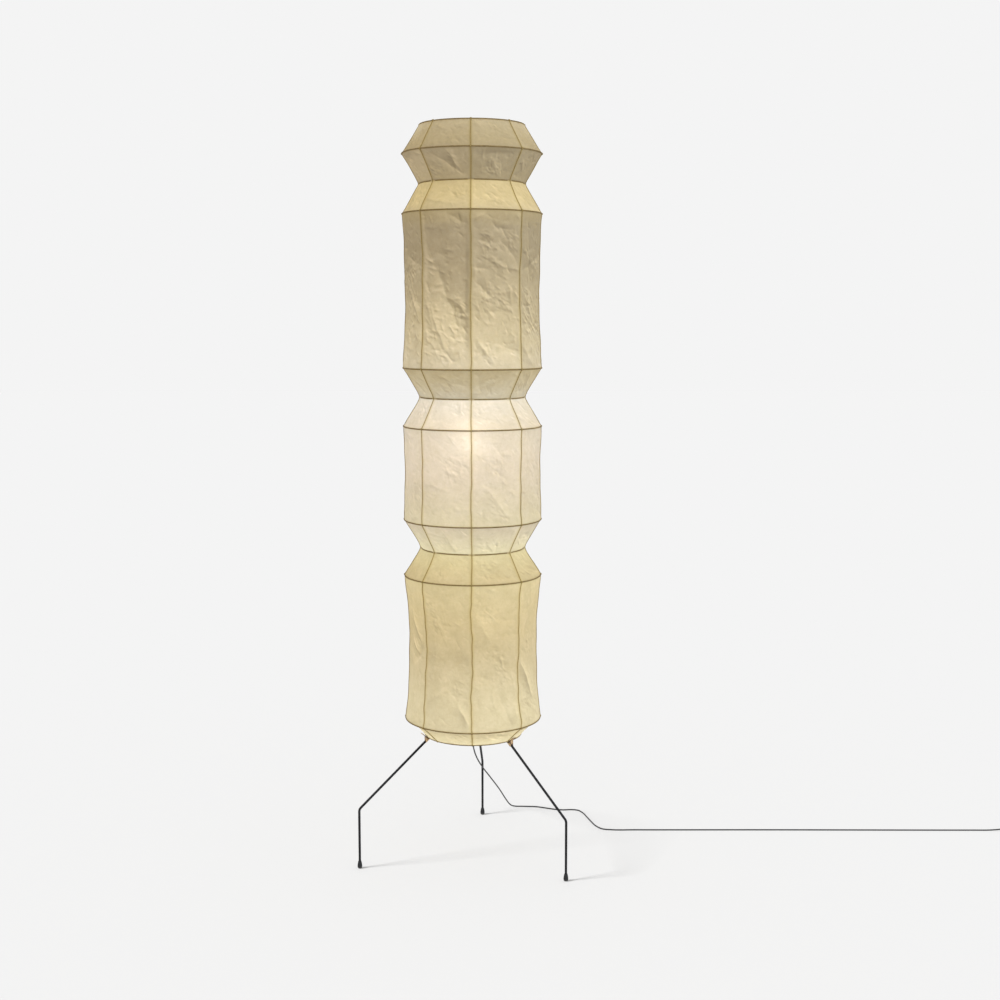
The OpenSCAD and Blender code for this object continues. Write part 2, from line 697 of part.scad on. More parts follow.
// The rocker lies with its left end down; it turns on two stub pins
module switch_rocker() {
    color("#232326") translate([rocker_x, 132, rocker_z]) rotate([90, -rocker_tilt, 0]) {
        linear_extrude(height = 12.2, center = true) polygon([
            [-10.3, -1], [0, -3], [10.3, -1], [10.3, 9.6], [0, 8.2], [-10.3, 9.6]
        ]);
        cylinder(r = 1.5, h = 17, center = true, $fn = 32);
    }
}

// Flat two-pin plug lying on its side, its tail towards the coil
module plug_body() {
    color("#141416") translate([plug_in[0], plug_in[1], plug_axis_z]) {
        rotate([-90, 0, 0]) cylinder(r1 = 2.6, r2 = 4.6, h = plug_tail_l + 1);
        translate([0, plug_tail_l, 0]) intersection() {
            linear_extrude(height = plug_t, center = true) polygon([
                [-6, 0], [6, 0], [8.5, 6], [plug_face_w / 2, 19], [plug_face_w / 2, plug_body_l],
                [-plug_face_w / 2, plug_body_l], [-plug_face_w / 2, 19], [-8.5, 6]
            ]);
            rotate([90, 0, 0]) translate([0, 0, -plug_body_l]) linear_extrude(height = plug_body_l)
                polygon([
                    [-plug_face_w / 2, -4], [-plug_face_w / 2 + 4, -plug_t / 2],
                    [plug_face_w / 2 - 4, -plug_t / 2], [plug_face_w / 2, -4],
                    [plug_face_w / 2, 4], [plug_face_w / 2 - 4, plug_t / 2],
                    [-plug_face_w / 2 + 4, plug_t / 2], [-plug_face_w / 2, 4]
                ]);
        }
    }
}

module plug_pins() {
    face_y = plug_in[1] + plug_tail_l + plug_body_l;
    color("#c9ccce") for (s = [-1, 1])
        translate([plug_in[0] + s * pin_spacing / 2, face_y, plug_axis_z]) rotate([-90, 0, 0]) {
            cylinder(r = pin_r, h = pin_l - 1);
            translate([0, 0, pin_l - 1]) cylinder(r1 = pin_r, r2 = pin_r - 0.8, h = 1);
        }
}

// ======== The nodes

hub();
grub_screws();
leg(0);  // leg_rear
leg(1);  // leg_left
leg(2);  // leg_right
foot(0);  // foot_rear
foot(1);  // foot_left
foot(2);  // foot_right
leg_clips();
stem();
stem_locknut();
holder_locknut();
harp_saddle();
harp();
harp_stud();
holder_cap();
holder_insulator();
holder_contact();
holder_sleeve();
holder_shell();
bulb_contact();
bulb_insulator();
bulb_cap();
bulb_glass();
hoop(0);  // hoop_top
hoop(1);  // hoop_head
hoop(2);  // hoop_upper_neck
hoop(3);  // hoop_upper_drum_top
hoop(4);  // hoop_upper_drum_base
hoop(5);  // hoop_middle_neck
hoop(6);  // hoop_middle_drum_top
hoop(7);  // hoop_middle_drum_base
hoop(8);  // hoop_lower_neck
hoop(9);  // hoop_lower_drum_top
hoop(10);  // hoop_lower_drum_base
hoop(11);  // hoop_bottom
paper_band(0);  // paper_collar
paper_band(1);  // paper_head
paper_band(2);  // paper_upper_shoulder
paper_band(3);  // paper_upper_drum
paper_band(4);  // paper_upper_waist
paper_band(5);  // paper_middle_shoulder
paper_band(6);  // paper_middle_drum
paper_band(7);  // paper_middle_waist
paper_band(8);  // paper_lower_shoulder
paper_band(9);  // paper_lower_drum
paper_band(10);  // paper_hem
tie_threads();
spider();
finial_washer();
finial();
cord_gland();
cord();
cord_coil();
coil_tie();
switch_body();
switch_rocker();
plug_body();
plug_pins();
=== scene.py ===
# Paper lantern floor lamp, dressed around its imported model.
# Metres, +Z up, -Y to the front, the origin on the floor under the shade's axis.
import json
import math

import bpy
import numpy as np
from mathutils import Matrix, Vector

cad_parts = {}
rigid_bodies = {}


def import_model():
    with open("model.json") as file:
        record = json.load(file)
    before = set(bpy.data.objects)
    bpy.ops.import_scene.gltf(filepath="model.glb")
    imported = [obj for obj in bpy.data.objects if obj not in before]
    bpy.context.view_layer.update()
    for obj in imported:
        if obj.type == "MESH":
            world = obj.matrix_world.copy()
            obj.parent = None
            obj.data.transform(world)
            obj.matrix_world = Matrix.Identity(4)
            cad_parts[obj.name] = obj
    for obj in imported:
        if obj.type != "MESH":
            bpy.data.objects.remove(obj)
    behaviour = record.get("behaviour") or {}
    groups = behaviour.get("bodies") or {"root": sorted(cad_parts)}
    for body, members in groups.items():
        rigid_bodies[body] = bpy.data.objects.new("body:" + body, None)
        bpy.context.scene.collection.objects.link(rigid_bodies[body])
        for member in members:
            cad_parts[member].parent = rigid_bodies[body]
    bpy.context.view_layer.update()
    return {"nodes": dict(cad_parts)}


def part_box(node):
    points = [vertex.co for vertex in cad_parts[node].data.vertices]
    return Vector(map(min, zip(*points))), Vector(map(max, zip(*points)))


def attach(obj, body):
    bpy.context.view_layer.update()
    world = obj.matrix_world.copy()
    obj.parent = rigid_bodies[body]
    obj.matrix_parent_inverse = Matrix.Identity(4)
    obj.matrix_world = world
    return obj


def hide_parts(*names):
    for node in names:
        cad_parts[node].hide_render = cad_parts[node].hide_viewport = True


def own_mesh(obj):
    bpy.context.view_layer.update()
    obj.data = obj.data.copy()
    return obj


for leftover in list(bpy.data.objects):
    bpy.data.objects.remove(leftover)
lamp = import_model()
scene = bpy.context.scene
solids = lamp["nodes"]

# ---- Camera
# The photograph's view: a little to the right of the lamp, nearly three metres from
# it and 1.07 m up, tipped down a few degrees.
photo_view = bpy.data.objects.new("photo_view", bpy.data.cameras.new("photo_view"))
photo_view.data.sensor_width = 36
photo_view.data.lens = 54.0
photo_view.location = (0.0542, -2.9494, 1.0736)
photo_view.rotation_euler = (math.radians(90 - 6.775), 0, 0)
scene.collection.objects.link(photo_view)
scene.camera = photo_view
scene.view_settings.view_transform = "Standard"

# ---- Cord
# Black two-core flex, extruded PVC, 2.8 mm across. It drops from the gland under
# the hub, lies on the floor to the switch, and the spare length is coiled and tied.
CORD_D = 0.0028
CORD_SIDES = 12
ROUTE_STEP = 0.006
ROUTE_MM = [
    (0, 0, 279), (0, 0, 268), (0, 3, 252), (0, 13, 234), (0, 27, 220),
    (0, 42, 208), (3, 58, 190.5), (9, 78, 170), (18, 100, 148.5), (33, 138, 116.5),
    (54, 200, 68), (68, 246, 31), (75.5, 270, 13.5), (82, 283, 5), (91, 289, 1.8),
    (102, 290, 1.4), (116, 289, 1.4), (135, 287, 1.4), (156, 278, 1.4), (176, 269, 1.4),
    (194, 265, 1.4), (212, 267, 1.4), (226, 263, 1.4), (235, 248, 1.4), (243.5, 218, 1.4),
    (251.5, 186, 1.4), (261, 156, 1.4), (272.5, 139.5, 1.4), (292, 134.5, 1.4), (340, 134, 1.4),
    (600, 134, 1.4), (1050, 132, 1.4), (1060, 132, 1.4), (1095, 132, 1.6), (1115, 132, 3),
    (1128, 132, 5), (1138, 132, 5),
]
SWITCH_OUT_MM = (1224, 132, 5)
COIL_PITCH = 0.0033
LAYER_TURNS = 2.5
COIL_LAYERS = 4
COIL_OUT_R = 0.0126 + COIL_PITCH * LAYER_TURNS
COIL_MIDDLE = (1.262, 0.132 + COIL_OUT_R)
COIL_RINGS = 48
PLUG_IN = (COIL_MIDDLE[0] + COIL_OUT_R + COIL_PITCH / 4, COIL_MIDDLE[1] + 0.038, 0.00685)


def unit(v):
    return v / np.linalg.norm(v)


def smooth_route(points, step):
    """A smooth line through given points, with a point about every step."""
    p = np.array(points, float)
    spans = np.linalg.norm(np.diff(p, axis=0), axis=1)
    slopes = [unit(p[1] - p[0])]
    for i in range(1, len(p) - 1):
        a, b = spans[i - 1], spans[i]
        slopes.append(((p[i] - p[i - 1]) * b / a + (p[i + 1] - p[i]) * a / b) / (a + b))
    slopes.append(unit(p[-1] - p[-2]))
    line = []
    for i, span in enumerate(spans):
        count = max(2, round(span / step))
        for t in np.arange(count) / count:
            t2, t3 = t * t, t * t * t
            line.append(
                (2 * t3 - 3 * t2 + 1) * p[i] + (t3 - 2 * t2 + t) * span * slopes[i]
                + (3 * t2 - 2 * t3) * p[i + 1] + (t3 - t2) * span * slopes[i + 1]
            )
    return line + [p[-1]]


def ease(t):
    s = min(max(t, 0), 1)
    return s * s * (3 - 2 * s)


def coil_point(turn):
    """A point of the winding: layers that spiral in and out in turn."""
    phase = turn % (2 * LAYER_TURNS)
    inward = phase if phase <= LAYER_TURNS else 2 * LAYER_TURNS - phase
    r = COIL_OUT_R - COIL_PITCH * inward
    climbs = sum(ease((turn - k * LAYER_TURNS) * 2 + 0.5) for k in range(1, COIL_LAYERS))
    a = math.tau * turn - math.pi / 2
    return np.array([
        COIL_MIDDLE[0] + r * math.cos(a), COIL_MIDDLE[1] + r * math.sin(a),
        CORD_D / 2 + COIL_PITCH * climbs,
    ])


def coil_line():
    """From the switch's far sleeve, round the coil and up into the plug's tail."""
    middle_x, middle_y = COIL_MIDDLE
    top_z = CORD_D / 2 + COIL_PITCH * (COIL_LAYERS - 1)
    out = np.array(SWITCH_OUT_MM) / 1000
    plug = np.array(PLUG_IN)
    line = [
        out, out + [0.0028, 0, 0], out + [0.009, 0, -0.0012],
        np.array([middle_x - 0.021, 0.132, 0.0019]), np.array([middle_x - 0.012, 0.132, 0.0014]),
    ]
    turns = LAYER_TURNS * COIL_LAYERS
    line += [coil_point(k / COIL_RINGS) for k in range(int(turns * COIL_RINGS) + 1)]
    for k in range(1, COIL_RINGS // 4 + 1):
        turn = k / COIL_RINGS
        a, r = math.tau * turn - math.pi / 2, COIL_OUT_R + COIL_PITCH * turn
        line.append(np.array([middle_x + r * math.cos(a), middle_y + r * math.sin(a), top_z]))
    line += [
        plug - [0, 0.030, PLUG_IN[2] - top_z], plug - [0, 0.019, -0.0026],
        plug - [0, 0.009, -0.0005], plug - [0, 0.0028, 0], plug,
    ]
    return line


def new_piece(name, verts, faces):
    """A mesh object from points and faces, in the lamp's own frame."""
    mesh = bpy.data.meshes.new(name)
    mesh.from_pydata([tuple(v) for v in verts], [], [tuple(f) for f in faces])
    mesh.polygons.foreach_set("use_smooth", [True] * len(mesh.polygons))
    mesh.update()
    piece = bpy.data.objects.new(name, mesh)
    scene.collection.objects.link(piece)
    return piece


def tube(line, radius, sides, first_side=(1, 0, 0)):
    """Points and faces of a round tube along a line. radius may vary along it."""
    p = np.array(line, float)
    n = len(p)
    radii = np.broadcast_to(np.asarray(radius, float), (n,))
    ahead = np.vstack([p[1:], p[-1:]]) - np.vstack([p[:1], p[:-1]])
    ahead /= np.linalg.norm(ahead, axis=1)[:, None]
    side = np.array(first_side, float)
    rings = []
    angles = math.tau * (np.arange(sides) + 0.5) / sides
    for k in range(n):
        side = unit(side - side.dot(ahead[k]) * ahead[k])
        other = np.cross(ahead[k], side)
        out = np.cos(angles)[:, None] * side + np.sin(angles)[:, None] * other
        rings.append(p[k] + radii[k] * out)
    faces = []
    for start in range(0, (n - 1) * sides, sides):
        for a in range(sides):
            b = (a + 1) % sides
            faces.append((start + a, start + b, start + sides + b, start + sides + a))
    faces.append(tuple(range(sides))[::-1])
    faces.append(tuple(range((n - 1) * sides, n * sides)))
    return np.vstack(rings), faces


class Finish:
    """A surface finish: one shader with its detail worked out from the piece's own shape."""

    def __init__(self, name, color, roughness, **sockets):
        self.material = bpy.data.materials.new(name)
        self.material.use_nodes = True
        self.tree = self.material.node_tree
        self.shader = self.tree.nodes["Principled BSDF"]
        self.shader.inputs["Base Color"].default_value = (*color, 1)
        self.shader.inputs["Roughness"].default_value = roughness
        for socket, value in sockets.items():
            self.shader.inputs[socket.replace("_", " ")].default_value = value

    def add(self, kind, *inputs, out=0, **settings):
        """A node of that kind, with its settings and its inputs by number or name."""
        node = self.tree.nodes.new(kind)
        for key, value in settings.items():
            setattr(node, key, value)
        for socket, value in inputs:
            if isinstance(value, bpy.types.NodeSocket):
                self.tree.links.new(value, node.inputs[socket])
            else:
                node.inputs[socket].default_value = value
        return node.outputs[out]

    def place(self, scale=(1, 1, 1)):
        """Where a point of the surface lies, stretched along the axes."""
        where = self.add("ShaderNodeTexCoord", out="Object")
        return self.add("ShaderNodeMapping", (0, where), ("Scale", scale))

    def noise(self, scale, detail=3, roughness=0.5, stretch=(1, 1, 1), twist=0):
        """Cloudy noise; scale is how many of its lumps go in a metre."""
        return self.add(
            "ShaderNodeTexNoise", (0, self.place(stretch)), ("Scale", scale),
            ("Detail", detail), ("Roughness", roughness), ("Distortion", twist),
        )

    def spread(self, value, low, high, to_low=0, to_high=1):
        """The value moved from one range to another."""
        return self.add(
            "ShaderNodeMapRange", ("Value", value), ("From Min", low), ("From Max", high),
            ("To Min", to_low), ("To Max", to_high),
        )

    def sum(self, a, b, how="ADD"):
        return self.add("ShaderNodeMath", (0, a), (1, b), operation=how)

    def blend(self, share, one, other, how="MIX"):
        """One colour turning into the other, by a share from 0 to 1."""
        one, other = (c if isinstance(c, bpy.types.NodeSocket) else (*c, 1) for c in (one, other))
        return self.add(
            "ShaderNodeMix", (0, share), (6, one), (7, other), out=2, data_type="RGBA", blend_type=how
        )

    def feed(self, socket, value):
        self.tree.links.new(value, self.shader.inputs[socket])

    def relief(self, height, depth, strength, under=None):
        """Bumps of that depth in metres; returns the normal."""
        inputs = [("Strength", strength), ("Distance", depth), ("Height", height)]
        if under is not None:
            inputs.append(("Normal", under))
        return self.add("ShaderNodeBump", *inputs)

    def mottle(self, share, one, other):
        """The surface's colour, one turning into the other."""
        self.feed("Base Color", self.blend(share, one, other))

    def dull(self, value, shiny, matt, low=0.3, high=0.7):
        """Shiny where the value is low, matt where it is high."""
        self.feed("Roughness", self.spread(value, low, high, shiny, matt))

    def emboss(self, height, depth, strength):
        self.feed("Normal", self.relief(height, depth, strength))

    def on(self, *pieces):
        for piece in pieces:
            piece.data.materials.clear()
            piece.data.materials.append(self.material)


flex = Finish("black_flex", (0.016, 0.016, 0.017), 0.42)
flex.dull(flex.noise(900), 0.34, 0.55, 0.35, 0.65)
flex.emboss(flex.noise(2600, 2), 0.00008, 0.4)

cord_line = smooth_route(np.array(ROUTE_MM) / 1000, ROUTE_STEP) + coil_line()
cord = new_piece("cord_flex", *tube(cord_line, CORD_D / 2, CORD_SIDES))
flex.on(cord)
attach(cord, "stand")
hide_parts("cord", "cord_coil")
cord_length = float(np.linalg.norm(np.diff(np.array(cord_line), axis=0), axis=1).sum())

# ---- Floor and light
# A plain pale floor that runs out of sight under an even sky, a sun that only the floor
# sees, for the thin shadows of legs and feet, and two broad studio lamps on the lantern.
FLOOR_ALBEDO = 0.35
SKY = 0.905
SUN_ON_FLOOR = 0.42
FLOOR_HALF = 20
floor_corners = [(x * FLOOR_HALF, y * FLOOR_HALF, 0) for x, y in ((-1, -1), (1, -1), (1, 1), (-1, 1))]
floor = new_piece("floor", floor_corners, [(0, 1, 2, 3)])
floor_paint = Finish(
    "pale_floor", (FLOOR_ALBEDO,) * 3, 1.0, Specular_IOR_Level=0.0,
    Emission_Color=(1, 1, 1, 1), Emission_Strength=SKY * (1 - FLOOR_ALBEDO) - SUN_ON_FLOOR,
)
floor_paint.on(floor)

sky = bpy.data.worlds.new("sky")
scene.world = sky
sky.use_nodes = True
sky.node_tree.nodes["Background"].inputs["Color"].default_value = (1, 1, 1, 1)
sky.node_tree.nodes["Background"].inputs["Strength"].default_value = SKY


def studio_lamp(name, kind, energy, place, aim=(0, 0, 0.8), color=(1, 1, 1), **settings):
    """A light that looks at the aim, out of the camera's own sight."""
    light = bpy.data.lights.new(name, kind)
    light.energy, light.color = energy, color
    for key, value in settings.items():
        setattr(light, key, value)
    holder = bpy.data.objects.new(name, light)
    holder.location = place
    look = Vector(aim) - Vector(place)
    holder.rotation_euler = look.to_track_quat("-Z", "Y").to_euler()
    holder.visible_camera = False
    scene.collection.objects.link(holder)
    return holder


# Only the legs and feet stand in this sun's way
SUN_HEIGHT = math.radians(42)
SUN_TURN = math.radians(20)
SUN_WIDTH = math.radians(14)
sun = studio_lamp(
    "floor_sun", "SUN", SUN_ON_FLOOR * math.pi / FLOOR_ALBEDO / math.sin(SUN_HEIGHT),
    (-math.cos(SUN_TURN), -math.sin(SUN_TURN), math.tan(SUN_HEIGHT)), aim=(0, 0, 0), angle=SUN_WIDTH
)
sunlit, in_the_sun = bpy.data.collections.new("sunlit"), bpy.data.collections.new("in_the_sun")
sunlit.objects.link(floor)
for name in ("leg_rear", "leg_left", "leg_right", "foot_rear", "foot_left", "foot_right"):
    in_the_sun.objects.link(solids[name])
sun.light_linking.receiver_collection = sunlit
sun.light_linking.blocker_collection = in_the_sun

# The lit bulb is a lamp just outside its glass, with a small one behind the front paper
# for the bulb seen through it. Globes and a disc of light stand in for what goes round
# inside the paper many times before it gets out. They leave the floor alone.
BULB_Z = 0.832
BULB_LIGHT_R, SEEN_THROUGH_R, GLOBE_R = 0.036, 0.012, 0.08
BULB_SEEN_AT = (-0.001, -0.102, 0.850)
DISC_Z, DISC_WATTS, DISC_SIZE = 1.25, (0.14, 0.12, 0.012), 0.18
STUDIO_SIZE = 1.2
# How high each stands, and its watts of red, green and blue
INNER_GLOBES = (
    (0.29, (1.22, 1.34, 1.32)), (0.53, (0.34, 0.25, 0.01)), (0.65, (0.66, 0.84, 0.72)),
    (0.76, (0.04, 0.04, 0.50)), (0.90, (0.20, 0.42, 0.98)), (1.02, (0.54, 0.50, 0.24)),
)
lit_from_inside = bpy.data.collections.new("lit_from_inside")
for node in solids.values():
    lit_from_inside.objects.link(node)
for name, watts, place, color in (
    ("left_lamp", 44, (-2.5, -1.7, 1.9), (1.0, 0.98, 0.95)),
    ("right_lamp", 96, (2.4, -1.8, 2.1), (0.86, 0.95, 1.0)),
):
    studio_lamp(name, "AREA", watts, place, color=color, shape="DISK", size=STUDIO_SIZE)
for name, watts, place, color, radius in (
    ("glow_bulb", 0.18, (0, 0, BULB_Z), (1.0, 0.92, 0.92), BULB_LIGHT_R),
    ("glow_seen_through", 0.052, BULB_SEEN_AT, (0.78, 0.79, 1.0), SEEN_THROUGH_R),
):
    studio_lamp(
        name, "POINT", watts, place, color=color, shadow_soft_size=radius, use_soft_falloff=False
    )
for height, watts in INNER_GLOBES:
    studio_lamp(
        "glow_%04d" % round(height * 1000), "POINT", max(watts), (0, 0, height),
        color=[w / max(watts) for w in watts], shadow_soft_size=GLOBE_R
    )
studio_lamp(
    "glow_up_%04d" % round(DISC_Z * 1000), "AREA", max(DISC_WATTS), (0, 0, DISC_Z),
    aim=(0, 0, DISC_Z + 1), color=[w / max(DISC_WATTS) for w in DISC_WATTS],
    shape="DISK", size=DISC_SIZE
)
for light in scene.objects:
    if light.type == "LIGHT" and light is not sun:
        light.light_linking.receiver_collection = lit_from_inside

# ---- Hoops
# Twelve rings of steel wire, each wound with a strip of brown paper so that the shade's
# paper sticks to it. They keep the lantern round, and fold up one on another. The
# spider that carries the top one is of the same wound wire.
HOOPS = (
    "hoop_top", "hoop_head", "hoop_upper_neck", "hoop_upper_drum_top", "hoop_upper_drum_base",
    "hoop_middle_neck", "hoop_middle_drum_top", "hoop_middle_drum_base", "hoop_lower_neck",
    "hoop_lower_drum_top", "hoop_lower_drum_base", "hoop_bottom",
)
HOOP_WIRE_R = 0.0011
hoop_z, hoop_r = [], []
for name in HOOPS:
    low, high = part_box(name)
    hoop_z.append((low[2] + high[2]) / 2)
    hoop_r.append((high[1] - low[1]) / 2 - HOOP_WIRE_R)
NECK_R, WIDE_R = hoop_r[2], hoop_r[1]

wound_wire = Finish("paper_wound_wire", (0.16, 0.11, 0.05), 0.8, Specular_IOR_Level=0.12)
windings = wound_wire.noise(160, 2, stretch=(1, 1, 12))
wound_wire.mottle(
    wound_wire.spread(windings, 0.35, 0.68), (0.19, 0.135, 0.06), (0.085, 0.056, 0.022)
)
wound_wire.emboss(windings, 0.0002, 0.6)
wound_wire.on(*[solids[name] for name in HOOPS], solids["spider"])

# ---- Paper bands
# Eleven bands of crinkled mulberry paper, each made of eight gores glued to the hoops
# above and below it. The paper is thin, so each band is one open sheet.
BANDS = (
    "paper_collar", "paper_head", "paper_upper_shoulder", "paper_upper_drum", "paper_upper_waist",
    "paper_middle_shoulder", "paper_middle_drum", "paper_middle_waist", "paper_lower_shoulder",
    "paper_lower_drum", "paper_hem",
)
DRUM_SLACK = {"paper_upper_drum": 0.005, "paper_middle_drum": 0.002, "paper_lower_drum": 0.009}
GORES = 8
GORE_COLUMNS = 56
ROW_STEP = 0.0019
GORE_FLATNESS = 0.5
GORE_ANGLE = math.tau / GORES
FRONT_TURN = -math.pi / 2

# Each band and gore has a tone: partly the paper's own, partly painted light and shade that
# darkens the head, the upper waist and the upper drum's outer gores, and lightens the upper
# shoulders. The paper is creased from handling.
# The long folds of the gores in front are listed one by one: from and to, across the gore and
# down it as shares, then how far they reach above and below, and how high they stand.
# Knots are where small crinkles gather, also as shares.
BAND_TONE_AND_SHADE = dict(zip(BANDS, (0.96, 0.90, 1.07, 0.98, 0.90, 1.06, 1.01, 1.06, 0.96, 1.0, 1.06)))
GORE_TONE_AND_SHADE = {
    "paper_collar": {6: 1.02, 7: 0.97, 0: 0.99, 1: 1.03},
    "paper_head": {6: 1.12, 7: 1.01, 0: 0.905, 1: 0.90},
    "paper_upper_shoulder": {7: 0.97, 0: 1.04, 1: 1.06},
    "paper_upper_drum": {6: 0.92, 7: 0.98, 0: 1.02, 1: 0.915},
    "paper_middle_shoulder": {0: 1.02},
    "paper_middle_drum": {6: 0.99, 0: 1.02, 1: 0.97},
    "paper_lower_drum": {6: 0.98, 7: 0.97, 0: 1.01, 1: 1.0},
    "paper_hem": {6: 0.97, 0: 1.02},
}
TONE_SCATTER = 0.03
CRUMPLED = {
    "paper_upper_drum": 1.35, "paper_head": 1.2, "paper_lower_drum": 0.55, "paper_middle_drum": 0.6,
}
CRUMPLED_ELSEWHERE = 0.8
# Long folds, short ridges and fine ones: how many on a gore of the upper drum, then from
# and to for half their length, their reach and their height, and the share in knots
CREASES = (
    (4, (0.030, 0.085), (0.008, 0.022), (0.0007, 0.0018), 0),
    (34, (0.008, 0.030), (0.0018, 0.005), (0.0003, 0.0011), 0.35),
    (240, (0.0035, 0.012), (0.0011, 0.0026), (0.0002, 0.00075), 0.55),
)
CREASE_LEANS, LEAN_SCATTER = (-68, -10, 5, 20, 60), 0.35
UPPER_DRUM_GORE = 0.106 * 0.297
KNOT_SPREAD = 0.012
KNOTS = {
    ("paper_upper_drum", 0): ((0.22, 0.56), (0.35, 0.55), (0.8, 0.2), (0.3, 0.9), (0.6, 0.57)),
    ("paper_upper_drum", 7): ((0.1, 0.54), (0.8, 0.58), (0.85, 0.78), (0.1, 0.78)),
    ("paper_upper_drum", 1): ((0.3, 0.55), (0.4, 0.7)),
    ("paper_upper_drum", 6): ((0.6, 0.5), (0.5, 0.75)),
    ("paper_lower_drum", 6): ((0.6, 0.42), (0.55, 0.5)),
}
FOLDS = {
    ("paper_upper_drum", 7): (
        (0.02, 0.16, 1.02, 0.93, 0.055, 0.030, -0.0062), (0.12, 0.56, 0.52, 0.90, 0.010, 0.005, 0.0022),
        (0.02, 0.50, 0.30, 0.80, 0.006, 0.009, 0.0016), (0.34, 0.50, 1.0, 0.64, 0.006, 0.006, 0.0014),
        (0.0, 0.33, 0.35, 0.30, 0.006, 0.005, 0.0010), (0.55, 0.02, 1.0, 0.10, 0.008, 0.008, -0.0018),
        (0.0, 0.52, 0.55, 0.50, 0.005, 0.008, 0.0014), (0.06, 0.74, 0.16, 0.84, 0.004, 0.006, 0.0014),
    ),
    ("paper_upper_drum", 0): (
        (0.0, 0.43, 0.46, 0.56, 0.012, 0.007, -0.0022), (0.42, 0.53, 1.0, 0.48, 0.007, 0.006, 0.0016),
        (0.50, 0.16, 0.98, 0.34, 0.012, 0.006, -0.0018), (0.10, 0.80, 0.44, 0.98, 0.007, 0.006, 0.0020),
        (0.0, 0.63, 0.80, 0.64, 0.008, 0.012, -0.0014), (0.22, 0.60, 0.48, 0.69, 0.004, 0.005, 0.0014),
        (0.0, 0.08, 0.30, 0.02, 0.006, 0.008, 0.0018), (0.85, 0.50, 1.0, 0.56, 0.004, 0.005, 0.0016),
        (0.40, 0.84, 0.66, 0.86, 0.004, 0.008, 0.0012),
    ),
    ("paper_upper_drum", 1): (
        (0.1, 0.50, 0.5, 0.72, 0.008, 0.006, 0.0022), (0.2, 0.05, 0.4, 0.45, 0.02, 0.01, -0.0022),
    ),
    ("paper_upper_drum", 6): (
        (0.4, 0.48, 0.95, 0.70, 0.01, 0.006, 0.0022), (0.7, 0.68, 0.4, 0.98, 0.01, 0.006, -0.0018),
    ),
    ("paper_head", 7): (
        (0.1, 0.1, 0.9, 0.9, 0.012, 0.006, -0.0022), (0.5, 0.15, 0.8, 0.75, 0.004, 0.006, 0.0016),
    ),
    ("paper_head", 0): ((0.3, 0.2, 0.7, 0.8, 0.006, 0.012, 0.0014),),
    ("paper_middle_drum", 7): ((0.15, 0.95, 0.75, 0.45, 0.02, 0.012, 0.0018),),
    ("paper_middle_drum", 0): ((0.2, 0.55, 0.8, 0.95, 0.012, 0.02, 0.0018),),
    ("paper_lower_drum", 7): (
        (0.05, 0.83, 0.55, 0.70, 0.010, 0.016, 0.0024), (0.74, 0.80, 1.0, 1.0, 0.008, 0.008, 0.0026),
        (0.10, 0.55, 0.45, 0.33, 0.014, 0.016, 0.0020), (0.40, 0.62, 0.95, 0.50, 0.018, 0.012, -0.0020),
    ),
    ("paper_lower_drum", 0): (
        (0.05, 0.20, 0.42, 0.42, 0.016, 0.020, 0.0020), (0.0, 0.62, 0.62, 0.66, 0.02, 0.02, -0.0016),
        (0.70, 0.96, 1.0, 0.84, 0.008, 0.008, 0.0020),
    ),
    ("paper_lower_drum", 1): (
        (0.05, 0.52, 0.55, 0.86, 0.012, 0.010, 0.0042), (0.1, 0.42, 0.45, 0.2, 0.01, 0.02, -0.0024),
    ),
    ("paper_lower_drum", 6): (
        (0.45, 0.20, 0.85, 0.45, 0.010, 0.010, 0.0032), (0.40, 0.60, 0.90, 0.45, 0.012, 0.008, -0.0036),
        (0.35, 0.40, 0.70, 0.52, 0.006, 0.006, 0.0030),
    ),
}
FOLD_HALF = 0.56
# Seams pucker more on the drums than between them, and most on the lower drum
SWAY = {"paper_upper_drum": 1.0, "paper_lower_drum": 2.4, "paper_middle_drum": 1.2}
SWAY_ELSEWHERE = 0.6
WOBBLE_OUT, WOBBLE_ASIDE = 0.0005, 0.0006
# Painted shade on the crinkles: the paper is painted paler where a crease faces up or to the
# right, and darker where it faces away
PAINTED_FACET_CONTRAST, STEEPEST_FACET = 0.85, 0.3
PAINTED_LIGHT_DOWN, PAINTED_LIGHT_ACROSS = 0.75, 0.65
# Painted shade on two drums, darker away from the bulb: how pale at the top,
# and what that gains going down
PAINTED_DRUM_SHADE = {"paper_upper_drum": (0.87, 0.18), "paper_lower_drum": (1.05, -0.1)}
# The glue holds the paper still this near a hoop, and only part of it this near a seam
HOOP_GRIP, SEAM_GRIP, SEAM_LOOSE = (0.001, 0.014), (0.002, 0.012), 0.3
BULGE_ROUNDING, BULGE_WIDTH = 0.004, 0.006


def smoothstep(low, high, x):
    s = np.clip((x - low) / (high - low), 0, 1)
    return s * s * (3 - 2 * s)


def seam_wobble(gore, z, sway):
    """How far the seam at a gore's start strays from true, outward and to its side."""
    seed = 1.7 * gore
    out = np.sin(z * 41 + seed) + 0.6 * np.sin(z * 97 + 2.3 * seed)
    side = np.sin(z * 33 + 3.1 * seed) + 0.5 * np.sin(z * 83 + 1.3 * seed)
    side = side + 0.3 * np.sin(z * 190 + seed)
    return WOBBLE_OUT * out, WOBBLE_ASIDE * sway * side


def crease(across, down, middle, lean, half, reach, lift):
    """Height of one crease: a line that wanders a little, falling off at either side."""
    dx, dy = across - middle[0], down - middle[1]
    along = dx * math.cos(lean) + dy * math.sin(lean)
    aside = dx * math.sin(lean) - dy * math.cos(lean)
    fade = np.clip(1 - (along / half) ** 2, 0, 1) ** 1.5
    aside = aside + 0.0012 * np.sin(along * 95 + middle[0] * 900) + 0.0006 * np.sin(along * 260)
    return lift * fade * np.exp(-np.where(aside > 0, aside / reach[0], -aside / reach[1]))


